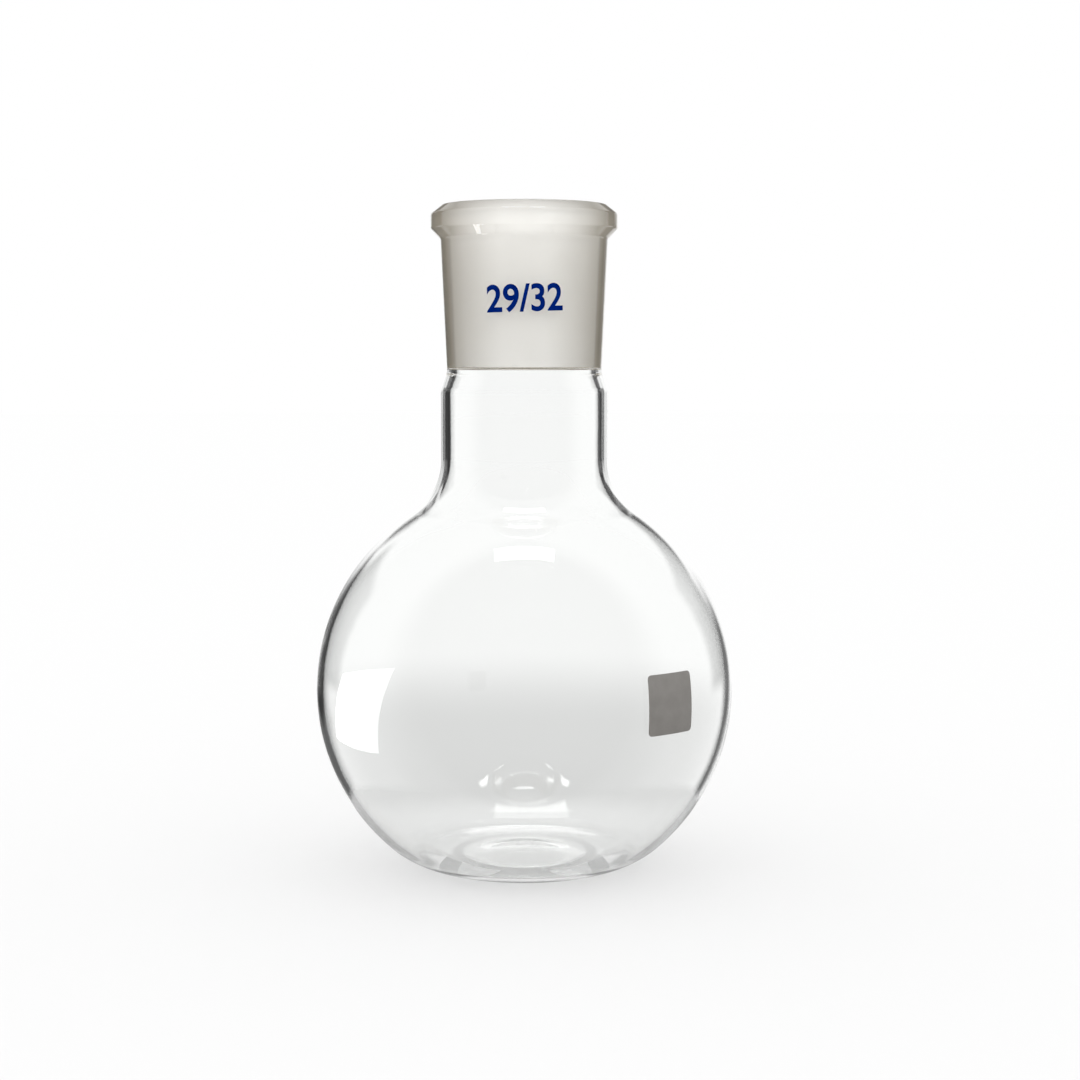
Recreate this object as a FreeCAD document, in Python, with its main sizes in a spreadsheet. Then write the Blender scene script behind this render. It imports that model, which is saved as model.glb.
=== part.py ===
import FreeCAD, Part
import math
import os

import Sketcher

os.makedirs("parts", exist_ok=True)

# Flat bottom flask, blown and drawn from one piece of clear borosilicate glass.
# Origin at the middle of the base on the plane it stands on, +Z up, printed side facing -Y.
# The glass is turned from two outlines about the upright axis: its outside, and its hollow.

document = FreeCAD.newDocument("flat_bottom_flask")

# Driving sizes in millimetres and degrees
SIZES = {
    # Round body
    "body_diameter": 85.0,
    "body_wall": 1.35,
    # Flattened base: it stands on a ring, and its middle is pushed up a little
    "base_ring_diameter": 30.0,
    "base_ring_width": 2.4,
    "base_rise": 1.0,
    "base_wall": 2.6,
    "heel_radius": 20.0,
    "inner_heel_radius": 6.0,
    # Neck, and the sweep from body to neck
    "neck_diameter": 34.0,
    "neck_wall": 2.0,
    "neck_length": 13.8,
    "shoulder_sweep": 13.0,
    "inner_shoulder_sweep": 14.5,
    # Waist where the ground joint was sealed to the neck
    "waist_diameter": 31.6,
    "waist_wall": 2.0,
    "waist_length": 3.6,
    "waist_round": 2.8,
    "waist_rise": 1.3,
    # Ground socket: its bore narrows by 1 mm for each joint_taper_ratio mm of length
    "joint_bore": 29.2,
    "joint_length": 32.0,
    "joint_taper_ratio": 10.0,
    "joint_wall_top": 2.3,
    "joint_wall_foot": 2.7,
    # Bead and lip round the mouth
    "lip_depth": 0.6,
    "lip_bore": 30.6,
    "lip_round": 0.4,
    "rim_diameter": 33.2,
    "bead_diameter": 37.7,
    "bead_bevel": 1.8,
    "bead_side": 3.0,
    "bead_underside": 2.0,
    "bead_round": 0.8,
    # Fired enamel field for writing on, at the right of the body's front
    "field_width_angle": 15.4,
    "field_height_angle": 15.8,
    "field_raise_angle": 2.1,
    "field_turn_angle": 41.4,
    "field_clearance": 0.01,
    "field_thickness": 0.1,
    "field_corner": 0.8,
}

sheet = document.addObject("Spreadsheet::Sheet", "Sizes")
for row, (alias, value) in enumerate(SIZES.items(), start=1):
    sheet.set(f"A{row}", alias)
    sheet.set(f"B{row}", str(value))
    sheet.setAlias(f"B{row}", alias)
document.recompute()

# Radii that several features share
BODY = "Sizes.body_diameter / 2"
HOLLOW = f"({BODY} - Sizes.body_wall)"
RING = "Sizes.base_ring_diameter / 2"
NECK = "Sizes.neck_diameter / 2"
WAIST = "Sizes.waist_diameter / 2"
JOINT_BORE = "Sizes.joint_bore / 2"
JOINT_FOOT_BORE = "(Sizes.joint_bore - Sizes.joint_length / Sizes.joint_taper_ratio) / 2"
BEAD = "Sizes.bead_diameter / 2"
# Heights, stacked from the base upwards
HEEL_TO_CENTRE = f"sqrt(({BODY} - Sizes.heel_radius)^2 - ({RING})^2)"
CENTRE_TO_SWEEP = f"sqrt(({BODY} + Sizes.shoulder_sweep)^2 - ({NECK} + Sizes.shoulder_sweep)^2)"
BODY_CENTRE = f"Sizes.heel_radius + {HEEL_TO_CENTRE}"
INNER_HEEL_HEIGHT = "(Sizes.base_wall + Sizes.inner_heel_radius)"
NECK_TOP = f"{BODY_CENTRE} + {CENTRE_TO_SWEEP} + Sizes.neck_length"
WAIST_HEIGHT = f"{NECK_TOP} + Sizes.waist_length"
JOINT_FOOT = f"{WAIST_HEIGHT} + Sizes.waist_rise"
JOINT_MOUTH = f"{JOINT_FOOT} + Sizes.joint_length"
TOP = f"{JOINT_MOUTH} + Sizes.lip_depth"
BEAD_TOP = f"{TOP} - Sizes.bead_bevel"
BEAD_FOOT = f"{BEAD_TOP} - Sizes.bead_side"
BEAD_ROOT = f"{BEAD_FOOT} - Sizes.bead_underside"
# The level floor inside ends where its heel, of a given radius, just touches the hollow's round wall
FLOOR = f"sqrt(({HOLLOW} - Sizes.inner_heel_radius)^2 - ({BODY_CENTRE} - {INNER_HEEL_HEIGHT})^2)"

# Corners of the outside above the neck, from below: name, radius, height
OUTER_CORNERS = (
    ("neck_top", NECK, NECK_TOP),
    ("waist", WAIST, WAIST_HEIGHT),
    ("socket_foot", f"{JOINT_FOOT_BORE} + Sizes.joint_wall_foot", JOINT_FOOT),
    ("bead_root", f"{JOINT_BORE} + Sizes.joint_wall_top", BEAD_ROOT),
    ("bead_foot", BEAD, BEAD_FOOT),
    ("bead_top", BEAD, BEAD_TOP),
    ("rim", "Sizes.rim_diameter / 2", TOP),
)
# Corners of the hollow above the neck, from below
INNER_CORNERS = (
    ("neck_top", f"{NECK} - Sizes.neck_wall", NECK_TOP),
    ("waist", f"{WAIST} - Sizes.waist_wall", WAIST_HEIGHT),
    ("joint_foot", JOINT_FOOT_BORE, JOINT_FOOT),
    ("joint_mouth", JOINT_BORE, JOINT_MOUTH),
    ("lip", "Sizes.lip_bore / 2", TOP),
)

# The sketcher's numbers for the points of a curve
START, END, CENTRE = range(1, 4)
QUARTER_TURN = math.pi / 2
SAME_PLACE = 1e-4


def value_of(formula):
    """The number that a formula of sheet cells gives."""
    return float(sheet.evalExpression(formula))


def section_sketch(body, name):
    """An empty sketch on the body's upright plane: across is the radius, up is the height."""
    sketch = body.newObject("Sketcher::SketchObject", name)
    plane = next(part for part in body.Origin.OriginFeatures if part.Role == "XZ_Plane")
    sketch.AttachmentSupport = [(plane, "")]
    sketch.MapMode = "FlatFace"
    return sketch


def add_line(sketch, start, end):
    """A line between two points given as (radius, height)."""
    return sketch.addGeometry(Part.LineSegment(FreeCAD.Vector(*start), FreeCAD.Vector(*end)), False)


def add_arc(sketch, centre, radius, from_angle, to_angle):
    """An arc that runs anticlockwise from one angle to another, in radians."""
    circle = Part.Circle(FreeCAD.Vector(*centre), FreeCAD.Vector(0, 0, 1), radius)
    return sketch.addGeometry(Part.ArcOfCircle(circle, from_angle, to_angle), False)


def join(sketch, first, second, smooth=False):
    """Make two ends one point, and the two curves tangent there if smooth."""
    kind = "Tangent" if smooth else "Coincident"
    sketch.addConstraint(Sketcher.Constraint(kind, *first, *second))


def keep_on_axis(sketch, point):
    """Hold a point on the upright axis, which the sketcher numbers -2."""
    sketch.addConstraint(Sketcher.Constraint("PointOnObject", *point, -2))


def drive(sketch, name, kind, target, formula):
    """Bind a radius, or a distance from the sketch's origin (-1, 1), to a formula of sheet cells."""
    places = target if kind == "Radius" else (-1, 1, *target)
    index = sketch.addConstraint(Sketcher.Constraint(kind, *places, value_of(formula)))
    sketch.renameConstraint(index, name)
    sketch.setExpression(f"Constraints.{name}", formula)


def drive_point(sketch, name, point, radius_formula, height_formula):
    """Bind a point's radius and height."""
    drive(sketch, f"{name}_radius", "DistanceX", point, radius_formula)
    drive(sketch, f"{name}_height", "DistanceY", point, height_formula)


def draw_dome(sketch, edge_formulas, middle_formula):
    """The shallow arc under or over the middle of the base, from its edge to the axis."""
    edge_radius, edge_height = (value_of(formula) for formula in edge_formulas)
    middle = value_of(middle_formula)
    rise = middle - edge_height
    radius = (edge_radius**2 + rise**2) / (2 * rise)
    edge_angle = math.atan2(radius - rise, edge_radius)
    dome = add_arc(sketch, (0, middle - radius), radius, edge_angle, QUARTER_TURN)
    keep_on_axis(sketch, (dome, CENTRE))
    keep_on_axis(sketch, (dome, END))
    drive(sketch, "dome_middle_height", "DistanceY", (dome, END), middle_formula)
    drive_point(sketch, "dome_edge", (dome, START), *edge_formulas)
    return dome


def draw_bowl(sketch, foot_formulas, body_formula, neck_formula, sweep_formula):
    """Heel, round body and the sweep up to the neck; gives the two end curves and the sweep's top."""
    foot_radius, foot_height = (value_of(formula) for formula in foot_formulas)
    body_radius = value_of(body_formula)
    neck_radius = value_of(neck_formula)
    sweep = value_of(sweep_formula)
    centre_height = value_of(BODY_CENTRE)

    # The heel starts level at the foot and runs smoothly into the round body
    drop = centre_height - foot_height
    heel = (body_radius**2 - drop**2 - foot_radius**2) / (2 * (body_radius - drop))
    heel_height = foot_height + heel
    heel_angle = math.atan2(heel_height - centre_height, foot_radius)
    # The sweep touches the round body from outside
    sweep_across = neck_radius + sweep
    sweep_up = math.sqrt((body_radius + sweep) ** 2 - sweep_across**2)
    sweep_angle = math.atan2(sweep_up, sweep_across)
    sweep_height = centre_height + sweep_up

    heel_arc = add_arc(sketch, (foot_radius, heel_height), heel, -QUARTER_TURN, heel_angle)
    body_arc = add_arc(sketch, (0, centre_height), body_radius, heel_angle, sweep_angle)
    sweep_arc = add_arc(sketch, (sweep_across, sweep_height), sweep, math.pi, math.pi + sweep_angle)
    sketch.addConstraint(Sketcher.Constraint("Vertical", heel_arc, START, heel_arc, CENTRE))
    join(sketch, (heel_arc, END), (body_arc, START), smooth=True)
    join(sketch, (body_arc, END), (sweep_arc, END), smooth=True)
    keep_on_axis(sketch, (body_arc, CENTRE))
    drive(sketch, "body_centre_height", "DistanceY", (body_arc, CENTRE), BODY_CENTRE)
    drive(sketch, "body_radius", "Radius", (body_arc,), body_formula)
    drive(sketch, "sweep_radius", "Radius", (sweep_arc,), sweep_formula)
    drive(sketch, "neck_foot_radius", "DistanceX", (sweep_arc, START), neck_formula)
    return heel_arc, sweep_arc, (neck_radius, sweep_height)


def draw_neck(sketch, sweep_arc, neck_foot, corners):
    """The straight runs from the sweep up to the mouth; gives the last line and its upper end."""
    lower_end, lower_point = (sweep_arc, START), neck_foot
    for position, (name, radius_formula, height_formula) in enumerate(corners):
        point = (value_of(radius_formula), value_of(height_formula))
        line = add_line(sketch, lower_point, point)
        join(sketch, lower_end, (line, START), smooth=position == 0)
        drive_point(sketch, name, (line, END), radius_formula, height_formula)
        lower_end, lower_point = (line, END), point
    return lower_end, lower_point


def close_on_axis(sketch, last_end, last_point, dome, middle_formula):
    """The level line across the mouth and the line down the axis to the dome."""
    top = last_point[1]
    mouth_line = add_line(sketch, last_point, (0, top))
    axis_line = add_line(sketch, (0, top), (0, value_of(middle_formula)))
    join(sketch, last_end, (mouth_line, START))
    join(sketch, (mouth_line, END), (axis_line, START))
    join(sketch, (axis_line, END), (dome, END))
    keep_on_axis(sketch, (mouth_line, END))
    sketch.addConstraint(Sketcher.Constraint("Horizontal", mouth_line))


def turn(body, kind, name, sketch):
    """Turn a sketch right round the upright axis, to add glass or to cut it away."""
    feature = body.newObject(kind, name)
    feature.Profile = sketch
    feature.ReferenceAxis = (sketch, ["V_Axis"])
    feature.Angle = 360
    sketch.Visibility = False
    document.recompute()
    return feature


def round_rings(body, name, corners, radius_formula):
    """Round the ring-shaped edges that lie at the named corners."""
    base = body.Tip
    rings = []
    for number, edge in enumerate(base.Shape.Edges, start=1):
        if edge.Degenerated or not isinstance(edge.Curve, Part.Circle):
            continue
        for _, radius_formula_there, height_formula in corners:
            across = abs(edge.Curve.Radius - value_of(radius_formula_there))
            up = abs(edge.Curve.Center.z - value_of(height_formula))
            if max(across, up) < SAME_PLACE:
                rings.append(f"Edge{number}")
    rounding = body.newObject("PartDesign::Fillet", name)
    rounding.Base = (base, rings)
    rounding.setExpression("Radius", radius_formula)
    document.recompute()
    return rounding


def make_flask():
    """The one-piece glass: a turned blank, hollowed, with its fire-polished corners rounded."""
    body = document.addObject("PartDesign::Body", "flask")
    body.Label = "flask"

    outside = section_sketch(body, "outside_outline")
    ring = (RING, "0")
    ring_inside = (f"{RING} - Sizes.base_ring_width", "0")
    dome = draw_dome(outside, ring_inside, "Sizes.base_rise")
    ring_line = add_line(outside, *((value_of(across), 0) for across in (ring_inside[0], ring[0])))
    heel_arc, sweep_arc, neck_foot = draw_bowl(outside, ring, BODY, NECK, "Sizes.shoulder_sweep")
    join(outside, (dome, START), (ring_line, START))
    join(outside, (ring_line, END), (heel_arc, START))
    drive_point(outside, "ring_edge", (ring_line, END), *ring)
    last_end, last_point = draw_neck(outside, sweep_arc, neck_foot, OUTER_CORNERS)
    close_on_axis(outside, last_end, last_point, dome, "Sizes.base_rise")
    blank = turn(body, "PartDesign::Revolution", "glass_blank", outside)

    hollow = section_sketch(body, "hollow_outline")
    floor_edge = (FLOOR, "Sizes.base_wall")
    floor_middle = "Sizes.base_rise + Sizes.base_wall"
    floor = draw_dome(hollow, floor_edge, floor_middle)
    heel_arc, sweep_arc, neck_foot = draw_bowl(
        hollow, floor_edge, HOLLOW, f"{NECK} - Sizes.neck_wall", "Sizes.inner_shoulder_sweep")
    join(hollow, (floor, START), (heel_arc, START))
    last_end, last_point = draw_neck(hollow, sweep_arc, neck_foot, INNER_CORNERS)
    close_on_axis(hollow, last_end, last_point, floor, floor_middle)
    cavity = turn(body, "PartDesign::Groove", "glass_hollow", hollow)
    if cavity.Shape.Volume >= blank.Shape.Volume:
        raise RuntimeError("the hollow was not cut")

    outer = {corner[0]: corner for corner in OUTER_CORNERS}
    inner = {corner[0]: corner for corner in INNER_CORNERS}
    bead = [outer[name] for name in ("bead_root", "bead_foot", "bead_top", "rim")]
    waist = [outer["neck_top"], outer["waist"], inner["neck_top"]]
    round_rings(body, "bead_rounding", bead, "Sizes.bead_round")
    round_rings(body, "waist_rounding", waist, "Sizes.waist_round")
    round_rings(body, "lip_rounding", [inner["lip"]], "Sizes.lip_round")
    return body


def make_marking_field():
    """The thin enamel field that lies on the round body, with rounded corners."""
    body = document.addObject("PartDesign::Body", "marking_field")
    body.Label = "marking_field"

    section = section_sketch(body, "field_section")
    centre = (0, value_of(BODY_CENTRE))
    back_formula = f"{BODY} + Sizes.field_clearance"
    front_formula = f"{back_formula} + Sizes.field_thickness"
    foot_formula = "(Sizes.field_raise_angle - Sizes.field_height_angle / 2) * 1 deg"
    head_formula = "(Sizes.field_raise_angle + Sizes.field_height_angle / 2) * 1 deg"
    foot_angle = math.radians(value_of(foot_formula))
    head_angle = math.radians(value_of(head_formula))
    back_arc = add_arc(section, centre, value_of(back_formula), foot_angle, head_angle)
    front_arc = add_arc(section, centre, value_of(front_formula), foot_angle, head_angle)
    join(section, (back_arc, CENTRE), (front_arc, CENTRE))
    keep_on_axis(section, (back_arc, CENTRE))
    drive(section, "centre_height", "DistanceY", (back_arc, CENTRE), BODY_CENTRE)
    drive(section, "back_radius", "Radius", (back_arc,), back_formula)
    drive(section, "front_radius", "Radius", (front_arc,), front_formula)
    for name, arc_end, angle, formula in (
            ("foot", START, foot_angle, foot_formula), ("head", END, head_angle, head_formula)):
        near, far = (
            (reach * math.cos(angle), centre[1] + reach * math.sin(angle))
            for reach in (value_of(back_formula), value_of(front_formula)))
        side = add_line(section, near, far)
        join(section, (back_arc, arc_end), (side, START))
        join(section, (front_arc, arc_end), (side, END))
        section.addConstraint(Sketcher.Constraint("PointOnObject", back_arc, CENTRE, side))
        index = section.addConstraint(Sketcher.Constraint("Angle", side, angle))
        section.renameConstraint(index, f"{name}_angle")
        section.setExpression(f"Constraints.{name}_angle", formula)

    field = body.newObject("PartDesign::Revolution", "field_layer")
    field.Profile = section
    field.ReferenceAxis = (section, ["V_Axis"])
    field.Midplane = True
    field.setExpression("Angle", "Sizes.field_width_angle")
    section.Visibility = False
    document.recompute()

    corners = [
        f"Edge{number}" for number, edge in enumerate(field.Shape.Edges, start=1)
        if not edge.Degenerated and isinstance(edge.Curve, Part.Line)]
    rounding = body.newObject("PartDesign::Fillet", "field_corners")
    rounding.Base = (field, corners)
    rounding.setExpression("Radius", "Sizes.field_corner")
    # The section lies towards +X: the front is a quarter turn back, and the field is to its right
    turn = math.radians(value_of("Sizes.field_turn_angle")) - QUARTER_TURN
    upright = FreeCAD.Vector(0, 0, 1)
    body.Placement = FreeCAD.Placement(FreeCAD.Vector(), FreeCAD.Rotation(upright, math.degrees(turn)))
    return body


def check_and_write(bodies):
    """Stop if anything failed to build, then write each piece's shape to its own file."""
    document.recompute()
    for item in document.Objects:
        if {"Invalid", "Error"} & set(item.State):
            raise RuntimeError(f"{item.Name} failed: {item.State}")
    for body in bodies:
        if body.Shape.isNull() or not body.Shape.isValid():
            raise RuntimeError(f"{body.Label} has no valid shape")
    for body in bodies:
        body.Shape.exportStep(f"parts/{body.Label}.step")


check_and_write([make_flask(), make_marking_field()])
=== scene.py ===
import math

import bmesh
import bpy
from mathutils import Euler, Matrix, Vector


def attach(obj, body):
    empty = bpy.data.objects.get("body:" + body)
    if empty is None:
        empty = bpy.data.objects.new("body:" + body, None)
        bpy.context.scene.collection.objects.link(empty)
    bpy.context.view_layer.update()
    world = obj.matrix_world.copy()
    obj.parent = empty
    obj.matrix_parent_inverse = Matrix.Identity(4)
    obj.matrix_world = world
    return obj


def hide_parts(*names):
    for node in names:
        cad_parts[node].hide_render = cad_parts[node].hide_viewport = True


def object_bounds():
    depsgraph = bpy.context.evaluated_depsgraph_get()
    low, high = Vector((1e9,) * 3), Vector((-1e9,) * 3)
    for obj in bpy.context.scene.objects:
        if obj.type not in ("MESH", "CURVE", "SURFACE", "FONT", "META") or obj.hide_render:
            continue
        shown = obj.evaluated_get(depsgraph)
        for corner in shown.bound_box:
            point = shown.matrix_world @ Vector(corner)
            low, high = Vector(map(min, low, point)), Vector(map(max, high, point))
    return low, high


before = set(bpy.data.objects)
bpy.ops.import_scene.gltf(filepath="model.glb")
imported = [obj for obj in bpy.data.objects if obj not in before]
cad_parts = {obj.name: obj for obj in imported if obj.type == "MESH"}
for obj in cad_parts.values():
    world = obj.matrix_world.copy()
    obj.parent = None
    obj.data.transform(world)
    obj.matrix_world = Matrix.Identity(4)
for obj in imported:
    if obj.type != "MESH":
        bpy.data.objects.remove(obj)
cad_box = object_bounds()

# Sizes in metres, those of the solid, whose box gives the body's radius and the whole height.
# Only the waist's bore, with the step above it, and the base's curve are finer here
BODY_RADIUS = cad_box[1].x
TOP = cad_box[1].z
BODY_WALL = 0.00135
RING_RADIUS = 0.015
RING_WIDTH = 0.0024
BASE_RISE = 0.001
BASE_WALL = 0.0026
HEEL_RADIUS = 0.02
INNER_HEEL_RADIUS = 0.006
NECK_RADIUS = 0.017
NECK_WALL = 0.002
NECK_LENGTH = 0.0138
SHOULDER_SWEEP = 0.013
INNER_SHOULDER_SWEEP = 0.0145
WAIST_RADIUS = 0.0158
WAIST_BORE_RADIUS = 0.0137
WAIST_STEP = 0.0004
WAIST_LENGTH = 0.0036
WAIST_ROUND = 0.0028
WAIST_RISE = 0.0013
JOINT_BORE_RADIUS = 0.0146
JOINT_LENGTH = 0.032
JOINT_TAPER = 0.05
JOINT_WALL_TOP = 0.0023
JOINT_WALL_FOOT = 0.0027
LIP_RADIUS = 0.0153
LIP_ROUND = 0.0004
RIM_RADIUS = 0.0166
BEAD_RADIUS = 0.01885
BEAD_BEVEL = 0.0018
BEAD_SIDE = 0.003
BEAD_UNDERSIDE = 0.002
BEAD_ROUND = 0.0008
FIELD_WIDTH_ANGLE = math.radians(15.4)
FIELD_HEIGHT_ANGLE = math.radians(15.8)
FIELD_RAISE_ANGLE = math.radians(2.1)
FIELD_TURN_ANGLE = math.radians(41.4)
FIELD_CLEARANCE = 0.00001
FIELD_THICKNESS = 0.0001
FIELD_CORNER = 0.0008

# What follows from them, from the base upwards
BODY_CENTRE = HEEL_RADIUS + math.sqrt((BODY_RADIUS - HEEL_RADIUS) ** 2 - RING_RADIUS**2)
HOLLOW_RADIUS = BODY_RADIUS - BODY_WALL
INNER_HEEL_DROP = BODY_CENTRE - BASE_WALL - INNER_HEEL_RADIUS
FLOOR_EDGE_RADIUS = math.sqrt((HOLLOW_RADIUS - INNER_HEEL_RADIUS) ** 2 - INNER_HEEL_DROP**2)
SWEEP_ACROSS = NECK_RADIUS + SHOULDER_SWEEP
SWEEP_UP = math.sqrt((BODY_RADIUS + SHOULDER_SWEEP) ** 2 - SWEEP_ACROSS**2)
NECK_TOP = BODY_CENTRE + SWEEP_UP + NECK_LENGTH
NECK_BORE_RADIUS = NECK_RADIUS - NECK_WALL
WAIST_HEIGHT = NECK_TOP + WAIST_LENGTH
JOINT_FOOT = WAIST_HEIGHT + WAIST_RISE
JOINT_MOUTH = JOINT_FOOT + JOINT_LENGTH
JOINT_FOOT_RADIUS = JOINT_BORE_RADIUS - JOINT_LENGTH * JOINT_TAPER
SOCKET_FOOT_RADIUS = JOINT_FOOT_RADIUS + JOINT_WALL_FOOT
SOCKET_HEAD_RADIUS = JOINT_BORE_RADIUS + JOINT_WALL_TOP
BEAD_TOP = TOP - BEAD_BEVEL
BEAD_FOOT = BEAD_TOP - BEAD_SIDE
BEAD_ROOT = BEAD_FOOT - BEAD_UNDERSIDE

# How finely the glass and the enamel field are cut
TURN_STEPS = 256
ARC_STEP = math.radians(2)
ROUND_STEPS = 8
DOME_STEPS = 20
FIELD_STEPS = 24

# Nearer than this, in metres, a point counts as lying on the axis, or on the ground cone
AXIS_NEAR = 1e-7
CONE_NEAR = 0.0001

QUARTER_TURN = math.pi / 2


def arc(centre, radius, start, end):
    """Points of an arc from one angle to another."""
    steps = max(ROUND_STEPS, math.ceil(abs(end - start) / ARC_STEP))
    points = []
    for step in range(steps + 1):
        angle = start + (end - start) * step / steps
        across = centre[0] + radius * math.cos(angle)
        up = centre[1] + radius * math.sin(angle)
        points.append(Vector((across, up)))
    return points


def dome(edge_radius, edge_height, middle_height):
    """The shallow fall from the axis out to an edge, level at both, as softened glass settles."""
    half_rise = (middle_height - edge_height) / 2
    points = []
    for step in range(DOME_STEPS + 1):
        share = step / DOME_STEPS
        height = edge_height + half_rise * (1 + math.cos(math.pi * share))
        points.append(Vector((edge_radius * share, height)))
    return points


def bowl(foot_radius, foot_height, body_radius, neck_radius, sweep):
    """Heel, round body and the sweep up to the neck."""
    drop = BODY_CENTRE - foot_height
    heel = (body_radius**2 - drop**2 - foot_radius**2) / (2 * (body_radius - drop))
    heel_height = foot_height + heel
    heel_angle = math.atan2(heel_height - BODY_CENTRE, foot_radius)
    sweep_across = neck_radius + sweep
    sweep_up = math.sqrt((body_radius + sweep) ** 2 - sweep_across**2)
    sweep_angle = math.atan2(sweep_up, sweep_across)
    heel_arc = arc((foot_radius, heel_height), heel, -QUARTER_TURN, heel_angle)
    body_arc = arc((0, BODY_CENTRE), body_radius, heel_angle, sweep_angle)
    sweep_arc = arc((sweep_across, BODY_CENTRE + sweep_up), sweep, math.pi + sweep_angle, math.pi)
    return heel_arc + body_arc[1:] + sweep_arc[1:]


def rounded(corners):
    """Straight runs between corners given as (radius, height, rounding)."""
    points = [Vector(corners[0][:2])]
    for before, corner, after in zip(corners, corners[1:], corners[2:]):
        middle = Vector(corner[:2])
        back = (Vector(before[:2]) - middle).normalized()
        ahead = (Vector(after[:2]) - middle).normalized()
        half = back.angle(ahead) / 2
        bisector = (back + ahead).normalized()
        centre = middle + bisector * corner[2] / math.sin(half)
        start = middle + back * corner[2] / math.tan(half) - centre
        sweep = math.pi - 2 * half
        side = 1 if start.x * ahead.y - start.y * ahead.x > 0 else -1
        for step in range(ROUND_STEPS + 1):
            turn = Matrix.Rotation(side * sweep * step / ROUND_STEPS, 2)
            points.append(centre + turn @ start)
    points.append(Vector(corners[-1][:2]))
    return points


def flask_outline():
    """The section's outline from the middle of the base, up the outside, and down the inside."""
    under = dome(RING_RADIUS - RING_WIDTH, 0, BASE_RISE)
    outside = bowl(RING_RADIUS, 0, BODY_RADIUS, NECK_RADIUS, SHOULDER_SWEEP)
    floor = dome(FLOOR_EDGE_RADIUS, BASE_WALL, BASE_RISE + BASE_WALL)
    inside = bowl(FLOOR_EDGE_RADIUS, BASE_WALL, HOLLOW_RADIUS, NECK_BORE_RADIUS, INNER_SHOULDER_SWEEP)
    above = rounded([
        (*outside[-1], 0),
        (NECK_RADIUS, NECK_TOP, WAIST_ROUND),
        (WAIST_RADIUS, WAIST_HEIGHT, WAIST_ROUND),
        (SOCKET_FOOT_RADIUS, JOINT_FOOT, WAIST_ROUND),
        (SOCKET_HEAD_RADIUS, BEAD_ROOT, BEAD_ROUND),
        (BEAD_RADIUS, BEAD_FOOT, BEAD_ROUND),
        (BEAD_RADIUS, BEAD_TOP, BEAD_ROUND),
        (RIM_RADIUS, TOP, BEAD_ROUND),
        (LIP_RADIUS, TOP, LIP_ROUND),
        (JOINT_BORE_RADIUS, JOINT_MOUTH, LIP_ROUND),
        (JOINT_FOOT_RADIUS, JOINT_FOOT, LIP_ROUND),
        (WAIST_BORE_RADIUS, JOINT_FOOT - WAIST_STEP, LIP_ROUND),
        (WAIST_BORE_RADIUS, WAIST_HEIGHT, WAIST_ROUND),
        (NECK_BORE_RADIUS, NECK_TOP, WAIST_ROUND),
        (*inside[-1], 0),
    ])
    return under + outside + above[1:-1] + inside[::-1] + floor[::-1][1:]


def is_ground(first, second):
    """True for the piece of the outline that lies on the ground cone."""
    height = (first.y + second.y) / 2
    bore = JOINT_FOOT_RADIUS + (height - JOINT_FOOT) * JOINT_TAPER
    across = abs((first.x + second.x) / 2 - bore)
    return JOINT_FOOT < height < JOINT_MOUTH and across < CONE_NEAR


def turned_mesh(name, outline, materials, material_of):
    """Turn an outline that starts and ends on the axis into a closed mesh."""
    mesh = bmesh.new()
    turns = [2 * math.pi * step / TURN_STEPS for step in range(TURN_STEPS)]
    rings = []
    for point in outline:
        if point.x < AXIS_NEAR:
            places = [(0, 0, point.y)]
        else:
            places = [(point.x * math.cos(turn), point.x * math.sin(turn), point.y) for turn in turns]
        rings.append([mesh.verts.new(place) for place in places])
    for lower, upper, first, second in zip(rings, rings[1:], outline, outline[1:]):
        material_index = material_of(first, second)
        for step in range(TURN_STEPS):
            ahead = (step + 1) % TURN_STEPS
            corners = [lower[step % len(lower)], lower[ahead % len(lower)],
                       upper[ahead % len(upper)], upper[step % len(upper)]]
            face = mesh.faces.new(dict.fromkeys(corners))
            face.smooth = True
            face.material_index = material_index
    bmesh.ops.recalc_face_normals(mesh, faces=mesh.faces)
    return finish_mesh(name, mesh, materials)


def finish_mesh(name, mesh, materials):
    """Put a built mesh into the scene as an object with its materials."""
    data = bpy.data.meshes.new(name)
    mesh.to_mesh(data)
    mesh.free()
    for material in materials:
        data.materials.append(material)
    piece = bpy.data.objects.new(name, data)
    bpy.context.scene.collection.objects.link(piece)
    return piece


def new_material(name, **settings):
    """A material whose principled shader has these settings."""
    material = bpy.data.materials.new(name)
    material.use_nodes = True
    shader = material.node_tree.nodes["Principled BSDF"]
    for socket, value in settings.items():
        shader.inputs[socket.replace("_", " ")].default_value = value
    return material, material.node_tree, shader


def feed(tree, socket, value):
    """Give a socket a number, or what another node puts out."""
    if isinstance(value, (int, float)):
        socket.default_value = value
    else:
        tree.links.new(value, socket)


def calculate(tree, operation, *values):
    """A sum over numbers and what other nodes put out."""
    node = tree.nodes.new("ShaderNodeMath")
    node.operation = operation
    for socket, value in zip(node.inputs, values):
        feed(tree, socket, value)
    return node.outputs[0]


def blend(tree, share, nothing, everything):
    """Go from one value to another as the share goes from 0 to 1."""
    node = tree.nodes.new("ShaderNodeMix")
    feed(tree, node.inputs[0], share)
    feed(tree, node.inputs[2], nothing)
    feed(tree, node.inputs[3], everything)
    return node.outputs[0]


def step_up(tree, value, start, end):
    """0 below start, 1 above end, smooth in between."""
    node = tree.nodes.new("ShaderNodeMapRange")
    node.interpolation_type = "SMOOTHSTEP"
    node.inputs["From Min"].default_value = start
    node.inputs["From Max"].default_value = end
    tree.links.new(value, node.inputs["Value"])
    return node.outputs["Result"]


def at_least(tree, path, kind, count):
    """1 for light that has met so many faces in one way, or more."""
    return calculate(tree, "GREATER_THAN", path.outputs[kind + " Depth"], count - 0.5)


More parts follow.
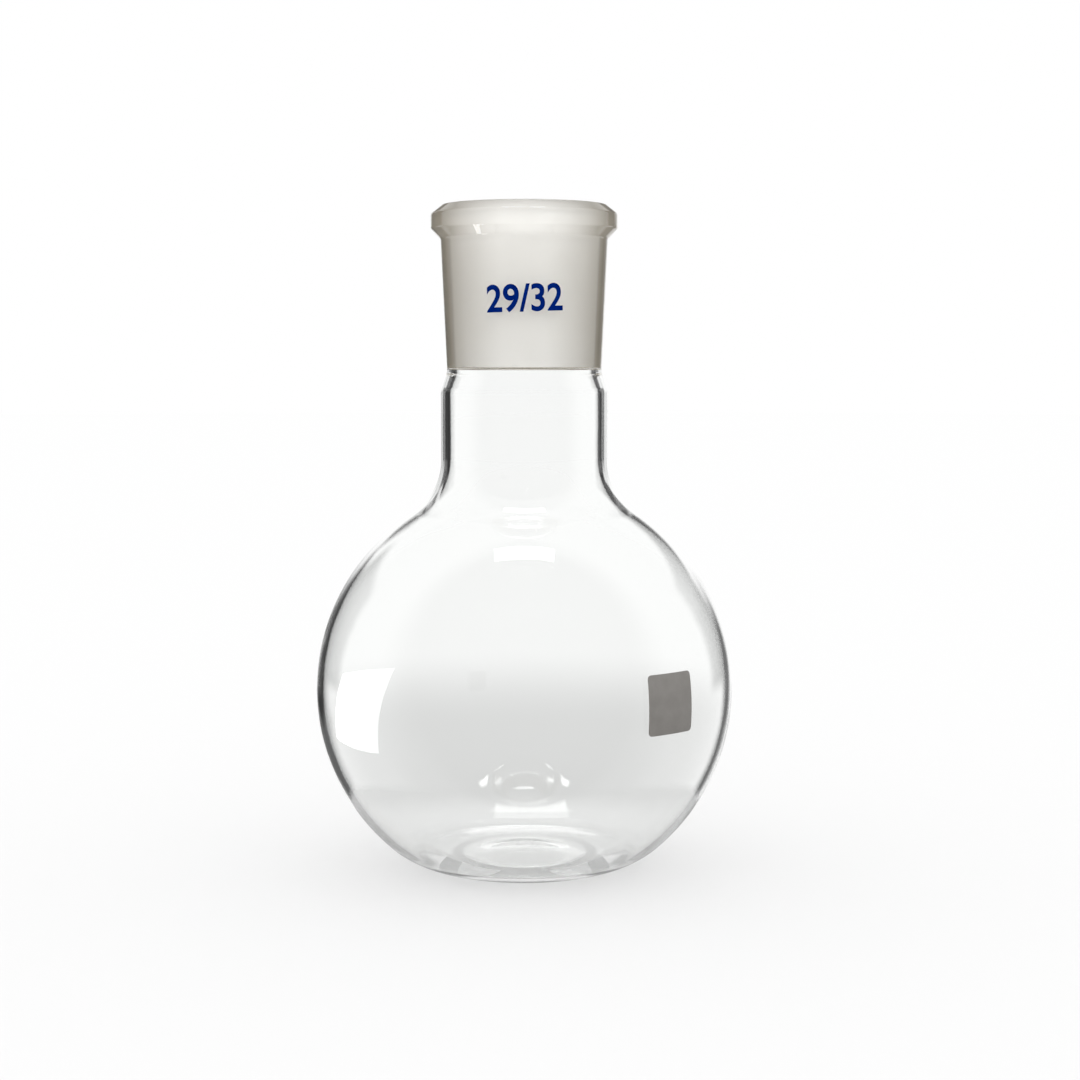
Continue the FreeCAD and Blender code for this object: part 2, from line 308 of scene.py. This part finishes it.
def at_most(tree, path, kind, count):
    """1 for light that has met so many faces in one way, or fewer."""
    return calculate(tree, "LESS_THAN", path.outputs[kind + " Depth"], count + 0.5)


def noise(tree, scale, detail=2.0):
    """Noise in the piece's own metres."""
    place = tree.nodes.new("ShaderNodeTexCoord")
    texture = tree.nodes.new("ShaderNodeTexNoise")
    texture.inputs["Scale"].default_value = scale
    texture.inputs["Detail"].default_value = detail
    tree.links.new(place.outputs["Object"], texture.inputs["Vector"])
    return texture.outputs["Fac"]


def bump(tree, height, shader, distance):
    """Let a height ripple a shader's surface."""
    node = tree.nodes.new("ShaderNodeBump")
    node.inputs["Distance"].default_value = distance
    tree.links.new(height, node.inputs["Height"])
    tree.links.new(node.outputs["Normal"], shader.inputs["Normal"])


def ramp(tree, value, low_at, low, high_at, high):
    """A colour that goes from low to high as a value goes from one level to another."""
    node = tree.nodes.new("ShaderNodeValToRGB")
    first, last = node.color_ramp.elements
    first.position, first.color = low_at, (*low, 1)
    last.position, last.color = high_at, (*high, 1)
    tree.links.new(value, node.inputs["Fac"])
    return node.outputs["Color"]


def mix_shaders(tree, share, first, second):
    """Give a material's surface two shaders, the second with this share."""
    mix = tree.nodes.new("ShaderNodeMixShader")
    feed(tree, mix.inputs[0], share)
    tree.links.new(first.outputs[0], mix.inputs[1])
    tree.links.new(second.outputs[0], mix.inputs[2])
    tree.links.new(mix.outputs[0], tree.nodes["Material Output"].inputs["Surface"])


# Materials. Waves, grains and clouds are so many to the metre, and their heights are in metres
GLASS_COLOUR = (0.99, 0.995, 0.99)
GLASS_INDEX = 1.473
GLASS_WAVES = 55.0
GLASS_WAVE_HEIGHT = 0.00004
MOST_MIRRORINGS = 4
GROUND_THROUGH = 0.2
# The ground cone's colour runs from its own milky white, seen face on, to a painted shade where it is
# seen at a slant
GROUND_FACED_AT = 0.02
GROUND_FACED = (1.0, 0.985, 0.952)
GROUND_SLANT_SHADE_AT = 0.36
GROUND_SLANT_SHADE = (0.33, 0.3, 0.25)
GROUND_GRAIN = 3000.0
GROUND_GRAIN_HEIGHT = 0.00002
FIELD_DARK = (0.145, 0.137, 0.127)
FIELD_PALE = (0.166, 0.158, 0.147)
FIELD_CLOUDS = 400.0
FIELD_CLOUD_DETAIL = 4.0
FIELD_GRAIN = 4000.0
FIELD_GRAIN_HEIGHT = 0.00001
PRINT_DARK = (0.0, 0.008, 0.1)
PRINT_PALE = (0.0, 0.013, 0.14)
PRINT_CLOUDS = 900.0
PRINT_CLOUD_DETAIL = 3.0
CLOUDS_DARK_AT = 0.3
CLOUDS_PALE_AT = 0.7


def clear_glass():
    """Fire-polished borosilicate glass, with the slight waves of blown glass. Light that has been
    mirrored to and fro inside it often enough is let out."""
    material, tree, shader = new_material(
        "clear_glass", Base_Color=(*GLASS_COLOUR, 1), Roughness=0.0, IOR=GLASS_INDEX,
        Transmission_Weight=1.0)
    bump(tree, noise(tree, GLASS_WAVES), shader, GLASS_WAVE_HEIGHT)
    path = tree.nodes.new("ShaderNodeLightPath")
    spent = at_least(tree, path, "Glossy", MOST_MIRRORINGS)
    mix_shaders(tree, spent, shader, tree.nodes.new("ShaderNodeBsdfTransparent"))
    return material


def ground_glass():
    """The cone inside the socket, ground to a fine matt and milky, with painted shade darkening its
    colour where it is seen at a slant.
    """
    material, tree, shader = new_material("ground_glass", Roughness=1.0, Specular_IOR_Level=0.0)
    # Painted shade: the colour darkens where the cone is seen at a slant
    slant = tree.nodes.new("ShaderNodeLayerWeight").outputs["Facing"]
    colour = ramp(tree, slant, GROUND_FACED_AT, GROUND_FACED, GROUND_SLANT_SHADE_AT, GROUND_SLANT_SHADE)
    tree.links.new(colour, shader.inputs["Base Color"])
    bump(tree, noise(tree, GROUND_GRAIN), shader, GROUND_GRAIN_HEIGHT)
    through = tree.nodes.new("ShaderNodeBsdfTranslucent")
    tree.links.new(colour, through.inputs["Color"])
    mix_shaders(tree, GROUND_THROUGH, shader, through)
    return material


def clouded(tree, clouds, dark, pale):
    """A colour that wanders between a dark and a pale one."""
    return ramp(tree, clouds, CLOUDS_DARK_AT, dark, CLOUDS_PALE_AT, pale)


def field_enamel():
    """Matt grey enamel, fired on a little unevenly."""
    material, tree, shader = new_material("field_enamel", Roughness=0.6)
    colour = clouded(tree, noise(tree, FIELD_CLOUDS, FIELD_CLOUD_DETAIL), FIELD_DARK, FIELD_PALE)
    tree.links.new(colour, shader.inputs["Base Color"])
    bump(tree, noise(tree, FIELD_GRAIN), shader, FIELD_GRAIN_HEIGHT)
    return material


def print_enamel():
    """Blue enamel of the printed joint size."""
    material, tree, shader = new_material("print_enamel", Roughness=0.5, Specular_IOR_Level=0.0)
    colour = clouded(tree, noise(tree, PRINT_CLOUDS, PRINT_CLOUD_DETAIL), PRINT_DARK, PRINT_PALE)
    tree.links.new(colour, shader.inputs["Base Color"])
    return material


def make_flask():
    """The one-piece glass."""
    piece = turned_mesh(
        "flask_glass", flask_outline(), [clear_glass(), ground_glass()],
        lambda first, second: int(is_ground(first, second)))
    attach(piece, "root")
    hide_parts("flask")


def on_body(across, up, reach):
    """A point over the round body, from its angles right of and above the field's middle."""
    turn = FIELD_TURN_ANGLE + across
    rise = FIELD_RAISE_ANGLE + up
    level = reach * math.cos(rise)
    return Vector((level * math.sin(turn), -level * math.cos(turn), BODY_CENTRE + reach * math.sin(rise)))


def rounded_field_point(across, up):
    """Pull a point of the field's grid in where it lies past a rounded corner."""
    corner = FIELD_CORNER / BODY_RADIUS
    inner_across = FIELD_WIDTH_ANGLE / 2 - corner
    inner_up = FIELD_HEIGHT_ANGLE / 2 - corner
    past_corner = Vector((max(abs(across) - inner_across, 0), max(abs(up) - inner_up, 0)))
    if past_corner.length > corner:
        past_corner = past_corner.normalized() * corner
    return (math.copysign(min(abs(across), inner_across) + past_corner.x, across),
            math.copysign(min(abs(up), inner_up) + past_corner.y, up))


def field_grid(reach):
    """Points over the whole field, in rows from its foot up."""
    grid = []
    for row in range(FIELD_STEPS + 1):
        up = FIELD_HEIGHT_ANGLE * (row / FIELD_STEPS - 0.5)
        points = []
        for column in range(FIELD_STEPS + 1):
            across = FIELD_WIDTH_ANGLE * (column / FIELD_STEPS - 0.5)
            points.append(on_body(*rounded_field_point(across, up), reach))
        grid.append(points)
    return grid


def edge_of(grid):
    """A grid's outer points, once round."""
    right = [row[-1] for row in grid[1:]]
    left = [row[0] for row in grid[-2:0:-1]]
    return [*grid[0], *right, *grid[-1][-2::-1], *left]


def make_field():
    """The enamel field on the body."""
    mesh = bmesh.new()
    layers = []
    back_reach = BODY_RADIUS + FIELD_CLEARANCE
    for reach in (back_reach, back_reach + FIELD_THICKNESS):
        layers.append([[mesh.verts.new(point) for point in row] for row in field_grid(reach)])
    for grid in layers:
        for lower, upper in zip(grid, grid[1:]):
            for corners in zip(lower, lower[1:], upper[1:], upper):
                mesh.faces.new(corners)
    back, front = (edge_of(grid) for grid in layers)
    for corners in zip(back, [*back[1:], back[0]], [*front[1:], front[0]], front):
        mesh.faces.new(corners)
    bmesh.ops.recalc_face_normals(mesh, faces=mesh.faces)
    piece = finish_mesh("enamel_field", mesh, [field_enamel()])
    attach(piece, "root")
    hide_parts("marking_field")


# The print on the socket, in metres. It is cut into upright strips so that it can bend round
PRINT_TEXT = "29/32"
PRINT_HEIGHT = 0.1157
PRINT_WIDTH = 0.0154
PRINT_CAP = 0.0055
PRINT_TURN = math.radians(0.3)
PRINT_TILT = math.radians(1.7)
PRINT_LIFT = 0.00002
PRINT_STRIP = 0.0005
# How far its letters are thickened, in heights of the font
PRINT_BOLD = 0.018


def socket_radius(height):
    """Outer radius of the socket."""
    share = (height - JOINT_FOOT) / (BEAD_ROOT - JOINT_FOOT)
    return SOCKET_FOOT_RADIUS + (SOCKET_HEAD_RADIUS - SOCKET_FOOT_RADIUS) * share


def flat_print():
    """The print's letters as a flat mesh, as the font gives them."""
    letters = bpy.data.curves.new("joint_size_letters", "FONT")
    letters.body = PRINT_TEXT
    letters.align_x = "CENTER"
    letters.align_y = "CENTER"
    letters.offset = PRINT_BOLD
    source = bpy.data.objects.new("joint_size_letters", letters)
    bpy.context.scene.collection.objects.link(source)
    evaluated = source.evaluated_get(bpy.context.evaluated_depsgraph_get())
    flat = bpy.data.meshes.new_from_object(evaluated)
    bpy.data.objects.remove(source)
    mesh = bmesh.new()
    mesh.from_mesh(flat)
    return mesh


def make_print():
    """The joint size in blue enamel on the socket's front."""
    mesh = flat_print()
    across = [vert.co.x for vert in mesh.verts]
    up = [vert.co.y for vert in mesh.verts]
    middle = Vector((min(across) + max(across), min(up) + max(up))) / 2
    stretch = Vector((PRINT_WIDTH / (max(across) - min(across)), PRINT_CAP / (max(up) - min(up))))
    tilt = Matrix.Rotation(PRINT_TILT, 2)
    for vert in mesh.verts:
        flat_place = tilt @ ((vert.co.to_2d() - middle) * stretch)
        vert.co = (*flat_place, 0)
    for strip in range(math.ceil(PRINT_WIDTH / PRINT_STRIP)):
        cut = Vector((strip * PRINT_STRIP - PRINT_WIDTH / 2, 0, 0))
        everything = [*mesh.verts, *mesh.edges, *mesh.faces]
        bmesh.ops.bisect_plane(mesh, geom=everything, plane_co=cut, plane_no=(1, 0, 0))
    for vert in mesh.verts:
        height = PRINT_HEIGHT + vert.co.y
        radius = socket_radius(height) + PRINT_LIFT
        turn = PRINT_TURN + vert.co.x / radius
        vert.co = (radius * math.sin(turn), -radius * math.cos(turn), height)
    piece = finish_mesh("joint_size_print", mesh, [print_enamel()])
    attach(piece, "root")


# The studio's strengths: to the camera and through the glass, to the matt surfaces that it lights,
# and to what has been reflected in glass, behind the flask and before it
WHITE = 1.0
AMBIENT = 2.12
STUDIO_BEHIND = 1.0
STUDIO_BEFORE = 0.55
# The angles to either side of straight behind the flask between which it changes
STUDIO_ASIDE = math.radians(85)
STUDIO_AHEAD = math.radians(115)
# What comes through the glass finds it dimmed overhead, from the first of these angles above level
# and in full from the second
OVERHEAD = 0.2
OVERHEAD_FROM = math.radians(38)
OVERHEAD_FULL = math.radians(50)
# Dark screens, seen only as reflections: left and right edge in degrees to the right of straight
# behind the flask, foot and top in degrees above level, each with its softness, and the light
# that is left in front of the screen
SCREENS = (
    ((-58, 4), (-22, 3), (-6, 2), (13, 2), 0.04),
    ((-58, 4), (-31, 2), (11, 2), (24, 3), 0.04),
    ((-23, 3), (-14, 3), (-6, 2), (3, 4), 0.04),
    ((-41, 8), (-14, 3), (-15, 2), (-3, 2), 0.04),
    ((-41, 8), (-14, 3), (-27, 3), (-12, 2), 0.13),
    ((-24, 2), (-10, 2), (13.5, 1.5), (23, 2), 0.1),
    ((31, 3), (54, 4), (-6, 2), (14, 2), 0.04),
    ((22, 3), (32, 3), (-6, 2), (4, 5), 0.15),
    ((22, 3), (38, 3), (-27, 3), (-3, 2), 0.17),
    ((8, 2), (54, 4), (11.5, 1.5), (24, 2), 0.1),
)
# What has been reflected sees the screens and the table past so many faces of glass at the most
DEEPEST_FACES = 3


def past(tree, angle, edge):
    """How far an angle lies past a soft edge, given in degrees as its place and its softness."""
    place, soft = edge
    return step_up(tree, angle, math.radians(place - soft), math.radians(place + soft))


def behind_screens(tree, azimuth, elevation, sees_screens, strength):
    """The studio's strength with the dark screens before it."""
    for left, right, foot, top, remainder in SCREENS:
        across = calculate(tree, "SUBTRACT", past(tree, azimuth, left), past(tree, azimuth, right))
        up = calculate(tree, "SUBTRACT", past(tree, elevation, foot), past(tree, elevation, top))
        covered = calculate(tree, "MULTIPLY", across, up)
        share = calculate(tree, "MULTIPLY", sees_screens, covered)
        strength = blend(tree, share, strength, remainder)
    return strength


def make_world():
    """A white world. What has been reflected in glass sees a bright studio, dimmer on the camera's
    side, with dark screens on either side behind the flask."""
    world = bpy.data.worlds.new("studio")
    world.use_nodes = True
    world.cycles.sampling_method = "NONE"
    bpy.context.scene.world = world
    tree = world.node_tree
    path = tree.nodes.new("ShaderNodeLightPath")
    place = tree.nodes.new("ShaderNodeTexCoord")
    axes = tree.nodes.new("ShaderNodeSeparateXYZ")
    tree.links.new(place.outputs["Generated"], axes.inputs[0])
    azimuth = calculate(tree, "ARCTAN2", axes.outputs["X"], axes.outputs["Y"])
    elevation = calculate(tree, "ARCSINE", axes.outputs["Z"])

    ahead = step_up(tree, calculate(tree, "ABSOLUTE", azimuth), STUDIO_ASIDE, STUDIO_AHEAD)
    studio = blend(tree, ahead, STUDIO_BEHIND, STUDIO_BEFORE)
    sees_screens = at_most(tree, path, "Transmission", DEEPEST_FACES)
    reflected = behind_screens(tree, azimuth, elevation, sees_screens, studio)
    overhead = step_up(tree, elevation, OVERHEAD_FROM, OVERHEAD_FULL)
    through = blend(tree, overhead, WHITE, OVERHEAD)
    seen = blend(tree, at_least(tree, path, "Glossy", 1), through, reflected)
    seen = blend(tree, at_least(tree, path, "Diffuse", 1), seen, AMBIENT)
    seen = blend(tree, path.outputs["Is Camera Ray"], seen, WHITE)
    background = tree.nodes["Background"]
    background.inputs["Color"].default_value = (1, 1, 1, 1)
    tree.links.new(seen, background.inputs["Strength"])


# The table's own grey, and its glow: to the camera and far off in the glass, near the flask in the
# glass, under the flask in the glass, and to what has been reflected
TABLE_RADIUS = 4.0
TABLE_COLOUR = 0.21
TABLE_GLOW = 0.55
TABLE_GLOW_NEAR = 0.3
TABLE_GLOW_UNDER = 0.5
TABLE_GLOW_MIRRORED = 0.19
# The distances from the axis between which the glow under the flask goes over into the glow near
# it, and that into the glow far off
UNDER_END = 0.035
NEAR_START = 0.07
NEAR_END = 0.16
FAR_START = 0.34
# What has been reflected sees the table as far as this from the axis, with a soft edge
MIRRORED_EDGE = 0.058
MIRRORED_SOFT = 0.004


def make_table():
    """A pale table, white to the camera, a little dimmer near the flask where it is seen in glass.
    What has been reflected sees the table only round the flask's foot."""
    mesh = bmesh.new()
    bmesh.ops.create_circle(mesh, cap_ends=True, segments=TURN_STEPS, radius=TABLE_RADIUS)
    material, tree, shader = new_material(
        "pale_table", Base_Color=(TABLE_COLOUR, TABLE_COLOUR, TABLE_COLOUR, 1), Roughness=1.0,
        Specular_IOR_Level=0.0, Emission_Color=(1, 1, 1, 1))
    path = tree.nodes.new("ShaderNodeLightPath")
    place = tree.nodes.new("ShaderNodeTexCoord")
    length = tree.nodes.new("ShaderNodeVectorMath")
    length.operation = "LENGTH"
    tree.links.new(place.outputs["Object"], length.inputs[0])
    reach = length.outputs["Value"]
    was_reflected = at_least(tree, path, "Glossy", 1)

    near = blend(tree, step_up(tree, reach, UNDER_END, NEAR_START), TABLE_GLOW_UNDER, TABLE_GLOW_NEAR)
    in_glass = blend(tree, step_up(tree, reach, NEAR_END, FAR_START), near, TABLE_GLOW)
    in_glass = blend(tree, was_reflected, in_glass, TABLE_GLOW_MIRRORED)
    glow = blend(tree, path.outputs["Is Camera Ray"], in_glass, TABLE_GLOW)
    glow = blend(tree, path.outputs["Is Diffuse Ray"], glow, 0.0)
    tree.links.new(glow, shader.inputs["Emission Strength"])

    beyond = step_up(tree, reach, MIRRORED_EDGE - MIRRORED_SOFT, MIRRORED_EDGE + MIRRORED_SOFT)
    deep = at_least(tree, path, "Transmission", DEEPEST_FACES + 1)
    absent = calculate(tree, "MULTIPLY", was_reflected, calculate(tree, "MAXIMUM", beyond, deep))
    tree.links.new(calculate(tree, "SUBTRACT", 1.0, absent), shader.inputs["Alpha"])
    finish_mesh("table", mesh, [material])


# Softboxes, seen only as reflections in the glass, with their places in metres. The fewest and the
# most faces of glass before a softbox: none for one whose reflection lies on the flask's outside,
# and several for one whose light has gone through the flask's walls
ON_OUTSIDE = (0, 0)
THROUGH_WALLS = (3, 9)
BRIGHT_SOFTBOX = 8.0
LEFT_STRENGTH = 6.0
ABOVE_STRENGTH = 4.0
# The left softbox stands upright, its corners given as places behind the axis and above the table
LEFT_PLACE = -0.077
LEFT_CORNERS = ((-0.001, 0.0423), (-0.0467, 0.0551), (-0.0285, 0.0054), (0.0166, 0.0129))
# The top softbox leans: half its width, its place and its height at either long edge
TOP_FAR_EDGE = (0.077, -0.026, 0.392)
TOP_NEAR_EDGE = (0.080, -0.080, 0.384)
# The others lie level, all at one height: left, right, near and far edge
LEVEL_HEIGHT = 0.36
FAR_BAR = (-0.045, 0.045, -0.142, -0.120)
NEAR_BAR = (-0.050, 0.050, -0.105, -0.085)
ABOVE = (-0.115, 0.080, 0.0, 0.085)
# A slanting card off either end of the far bar, with the corners of the right one
END_CORNERS = ((0.0859, -0.1206), (0.1316, -0.0861), (0.1158, -0.0708), (0.0756, -0.1012))


def make_softbox(name, corners, strength, faces):
    """A glowing card that only what has been reflected sees, past so many faces of glass."""
    fewest, most = faces
    mesh = bmesh.new()
    mesh.faces.new([mesh.verts.new(corner) for corner in corners])
    material = bpy.data.materials.new(name)
    material.use_nodes = True
    tree = material.node_tree
    tree.nodes.remove(tree.nodes["Principled BSDF"])
    glow = tree.nodes.new("ShaderNodeEmission")
    glow.inputs["Strength"].default_value = strength
    clear = tree.nodes.new("ShaderNodeBsdfTransparent")
    path = tree.nodes.new("ShaderNodeLightPath")
    enough = at_least(tree, path, "Transmission", fewest)
    few = at_most(tree, path, "Transmission", most)
    in_range = calculate(tree, "MULTIPLY", enough, few)
    seen = calculate(tree, "MULTIPLY", at_least(tree, path, "Glossy", 1), in_range)
    mix_shaders(tree, seen, clear, glow)
    card = finish_mesh(name, mesh, [material])
    card.visible_camera = False
    card.visible_diffuse = False
    card.visible_shadow = False


def level_card(left, right, near, far):
    """Corners of a level card overhead."""
    return [(left, far, LEVEL_HEIGHT), (right, far, LEVEL_HEIGHT),
            (right, near, LEVEL_HEIGHT), (left, near, LEVEL_HEIGHT)]


def make_softboxes():
    """One softbox at the left, a wide one overhead, and level cards overhead whose reflections lie
    on the back wall and the base."""
    left = [(LEFT_PLACE, back, up) for back, up in LEFT_CORNERS]
    make_softbox("softbox_left", left, LEFT_STRENGTH, ON_OUTSIDE)
    far_half, *far_place = TOP_FAR_EDGE
    near_half, *near_place = TOP_NEAR_EDGE
    top = [(-far_half, *far_place), (far_half, *far_place),
           (near_half, *near_place), (-near_half, *near_place)]
    make_softbox("softbox_top", top, BRIGHT_SOFTBOX, ON_OUTSIDE)
    make_softbox("softbox_far_bar", level_card(*FAR_BAR), BRIGHT_SOFTBOX, THROUGH_WALLS)
    make_softbox("softbox_near_bar", level_card(*NEAR_BAR), BRIGHT_SOFTBOX, THROUGH_WALLS)
    for name, side in (("softbox_left_end", -1), ("softbox_right_end", 1)):
        end = [(side * across, back, LEVEL_HEIGHT) for across, back in END_CORNERS]
        make_softbox(name, end, BRIGHT_SOFTBOX, THROUGH_WALLS)
    make_softbox("softbox_above", level_card(*ABOVE), ABOVE_STRENGTH, THROUGH_WALLS)


# The photograph's camera
CAMERA_PLACE = (0, -0.430, 0.103)
CAMERA_DOWN = math.radians(4.79)
CAMERA_RIGHT = math.radians(0.426)
CAMERA_LENS = 70.37
CAMERA_SENSOR = 36
CAMERA_NEAREST = 0.01


def make_camera():
    """The camera at the photograph's place and angle."""
    data = bpy.data.cameras.new("camera")
    data.lens = CAMERA_LENS
    data.sensor_width = CAMERA_SENSOR
    data.clip_start = CAMERA_NEAREST
    camera = bpy.data.objects.new("camera", data)
    camera.location = CAMERA_PLACE
    camera.rotation_euler = Euler((QUARTER_TURN - CAMERA_DOWN, 0, -CAMERA_RIGHT))
    bpy.context.scene.collection.objects.link(camera)
    bpy.context.scene.camera = camera


bpy.context.scene.view_settings.view_transform = "Standard"
make_camera()
make_world()
make_table()
make_softboxes()
make_flask()
make_field()
make_print()
